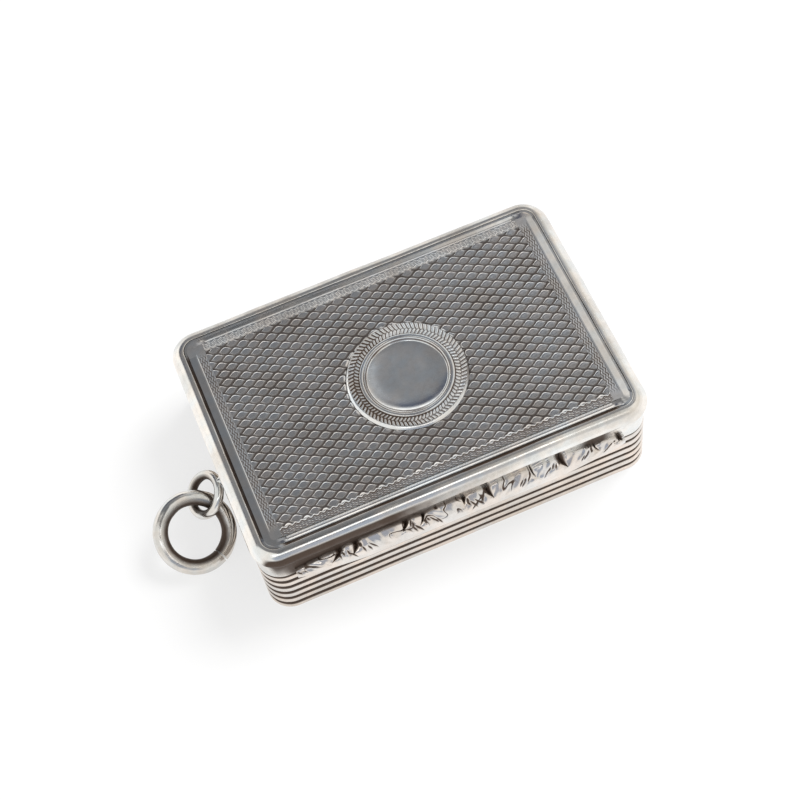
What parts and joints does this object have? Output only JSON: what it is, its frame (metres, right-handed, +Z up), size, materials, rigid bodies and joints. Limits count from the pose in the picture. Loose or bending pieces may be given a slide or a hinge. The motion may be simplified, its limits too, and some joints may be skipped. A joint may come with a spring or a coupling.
{
  "type": "vinaigrette",
  "caption": "Small rectangular silver scent box with a reeded wall, engine-turned hinged lid, leaf thumbpiece, pierced gilt grille over a sponge, and a loop with a hanging ring.",
  "frame": {"origin": "middle of the base, on the table that the case stands on", "axes": "+X along the length, away from the loop and ring; +Y towards the hinges; +Z up"},
  "size_m": [0.0434, 0.0261, 0.0099],
  "materials": {
    "silver": "polished, tarnished in recesses",
    "gilt": "gilded, softly polished",
    "sponge": "porous, matt"
  },
  "bodies": {
    "case": {"base_plate": "silver", "body_wall": "silver", "bezel": "gilt", "grille_ledge": "gilt", "sponge": "sponge", "body_hinge_knuckles": "silver", "lid_hinge_pin": "silver", "grille_lugs": "gilt", "grille_hinge_pin": "gilt", "suspension_loop": "silver"},
    "lid": {"lid_rim": "silver", "lid_plate": "silver", "lid_hinge_knuckles": "silver", "thumbpiece": "silver"},
    "grille": {"grille_plate": "gilt", "grille_knuckle": "gilt"},
    "ring": {"jump_ring": "silver"}
  },
  "joints": [
    {"name": "lid_hinge", "type": "hinge", "parent": "case", "child": "lid", "pos_m": [0, 0.0123, 0.00613], "axis": [-1, 0, 0], "range_deg": [0, 105]},
    {"name": "grille_hinge", "type": "hinge", "parent": "case", "child": "grille", "pos_m": [0, 0.01023, 0.0053], "axis": [-1, 0, 0], "range_deg": [0, 84]},
    {"name": "ring_swing", "type": "hinge", "parent": "case", "child": "ring", "pos_m": [-0.0198, -0.00041, 0.00318], "axis": [1, 0, 0], "range_deg": [-8, 95]}
  ],
  "couplings": [
    {"joint": "grille_hinge", "follows": "lid_hinge", "ratio": 0.8}
  ]
}
